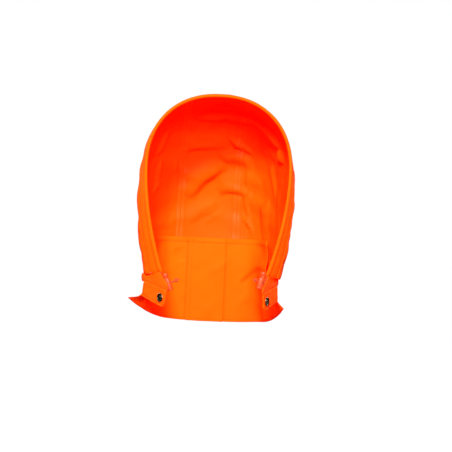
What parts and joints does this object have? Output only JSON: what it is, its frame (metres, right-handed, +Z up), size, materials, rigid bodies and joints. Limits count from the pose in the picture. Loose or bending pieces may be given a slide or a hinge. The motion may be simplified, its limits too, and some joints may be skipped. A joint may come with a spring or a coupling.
{
  "type": "detachable jacket hood",
  "caption": "Detachable weatherproof hood with a panelled shell and taped lining, a drawcord face hem with sprung cord locks, a nape facing and flap, and folding press-stud tabs.",
  "frame": {"origin": "inside of the crown, where the hood rests on the wearer's head", "axes": "+Z up, -Y out of the face opening, +X to the right as seen from the front"},
  "size_m": [0.2708, 0.2505, 0.3959],
  "materials": {
    "hood_twill": "matte fluorescent orange twill",
    "coated_lining": "smooth coated lining",
    "seam_tape": "thin heat-sealed film",
    "braided_cord": "round braided cord",
    "lock_plastic": "satin moulded acetal",
    "antique_brass": "dark antique brass with worn rims",
    "spring_steel": "bright wire"
  },
  "bodies": {
    "root": {"shell_center_panel": "hood_twill", "shell_left_panel": "hood_twill", "shell_right_panel": "hood_twill", "front_hem_crown": "hood_twill", "front_hem_left": "hood_twill", "front_hem_right": "hood_twill", "neck_facing_center": "hood_twill", "neck_facing_left": "hood_twill", "neck_facing_right": "hood_twill", "neck_flap_center": "hood_twill", "neck_flap_left": "hood_twill", "neck_flap_right": "hood_twill", "neck_band_left": "hood_twill", "neck_band_right": "hood_twill", "lining_center_panel": "coated_lining", "lining_left_panel": "coated_lining", "lining_right_panel": "coated_lining", "seam_tape_left": "seam_tape", "seam_tape_right": "seam_tape", "drawcord_in_hem": "braided_cord", "drawcord_end_left": "braided_cord", "drawcord_end_right": "braided_cord", "drawcord_knot_left": "braided_cord", "drawcord_knot_right": "braided_cord"},
    "cord_lock_left": {"cord_lock_body_left": "lock_plastic", "cord_lock_spring_left": "spring_steel"},
    "lock_plunger_left": {"cord_lock_plunger_left": "lock_plastic"},
    "tab_left": {"front_tab_left": "hood_twill", "tab_backing_left": "hood_twill", "press_stud_cap_left": "antique_brass", "press_stud_socket_left": "antique_brass"},
    "cord_lock_right": {"cord_lock_body_right": "lock_plastic", "cord_lock_spring_right": "spring_steel"},
    "lock_plunger_right": {"cord_lock_plunger_right": "lock_plastic"},
    "tab_right": {"front_tab_right": "hood_twill", "tab_backing_right": "hood_twill", "press_stud_cap_right": "antique_brass", "press_stud_socket_right": "antique_brass"}
  },
  "joints": [
    {"name": "cord_lock_left_slide", "type": "slide", "parent": "root", "child": "cord_lock_left", "axis": [0.8805, 0.3402, 0.3302], "range_m": [-0.0015, 0.0075]},
    {"name": "lock_plunger_left_press", "type": "slide", "parent": "cord_lock_left", "child": "lock_plunger_left", "axis": [0.358, -0.0205, -0.9335], "range_m": [0, 0.003], "stiffness_N_per_m": 600, "springref_m": -0.004, "deforming": ["cord_lock_spring_left"]},
    {"name": "tab_left_fold", "type": "hinge", "parent": "root", "child": "tab_left", "pos_m": [-0.07772, -0.13788, -0.327], "axis": [-0.5749, 0.7972, 0.184], "range_deg": [-5, 120]},
    {"name": "cord_lock_right_slide", "type": "slide", "parent": "root", "child": "cord_lock_right", "axis": [-0.553, 0.8244, 0.1206], "range_m": [-0.002, 0.0075]},
    {"name": "lock_plunger_right_press", "type": "slide", "parent": "cord_lock_right", "child": "lock_plunger_right", "axis": [-0.2016, 0.0081, -0.9794], "range_m": [0, 0.003], "stiffness_N_per_m": 600, "springref_m": -0.004, "deforming": ["cord_lock_spring_right"]},
    {"name": "tab_right_fold", "type": "hinge", "parent": "root", "child": "tab_right", "pos_m": [0.07981, -0.13923, -0.327], "axis": [-0.48, -0.856, -0.192], "range_deg": [-5, 120]}
  ]
}
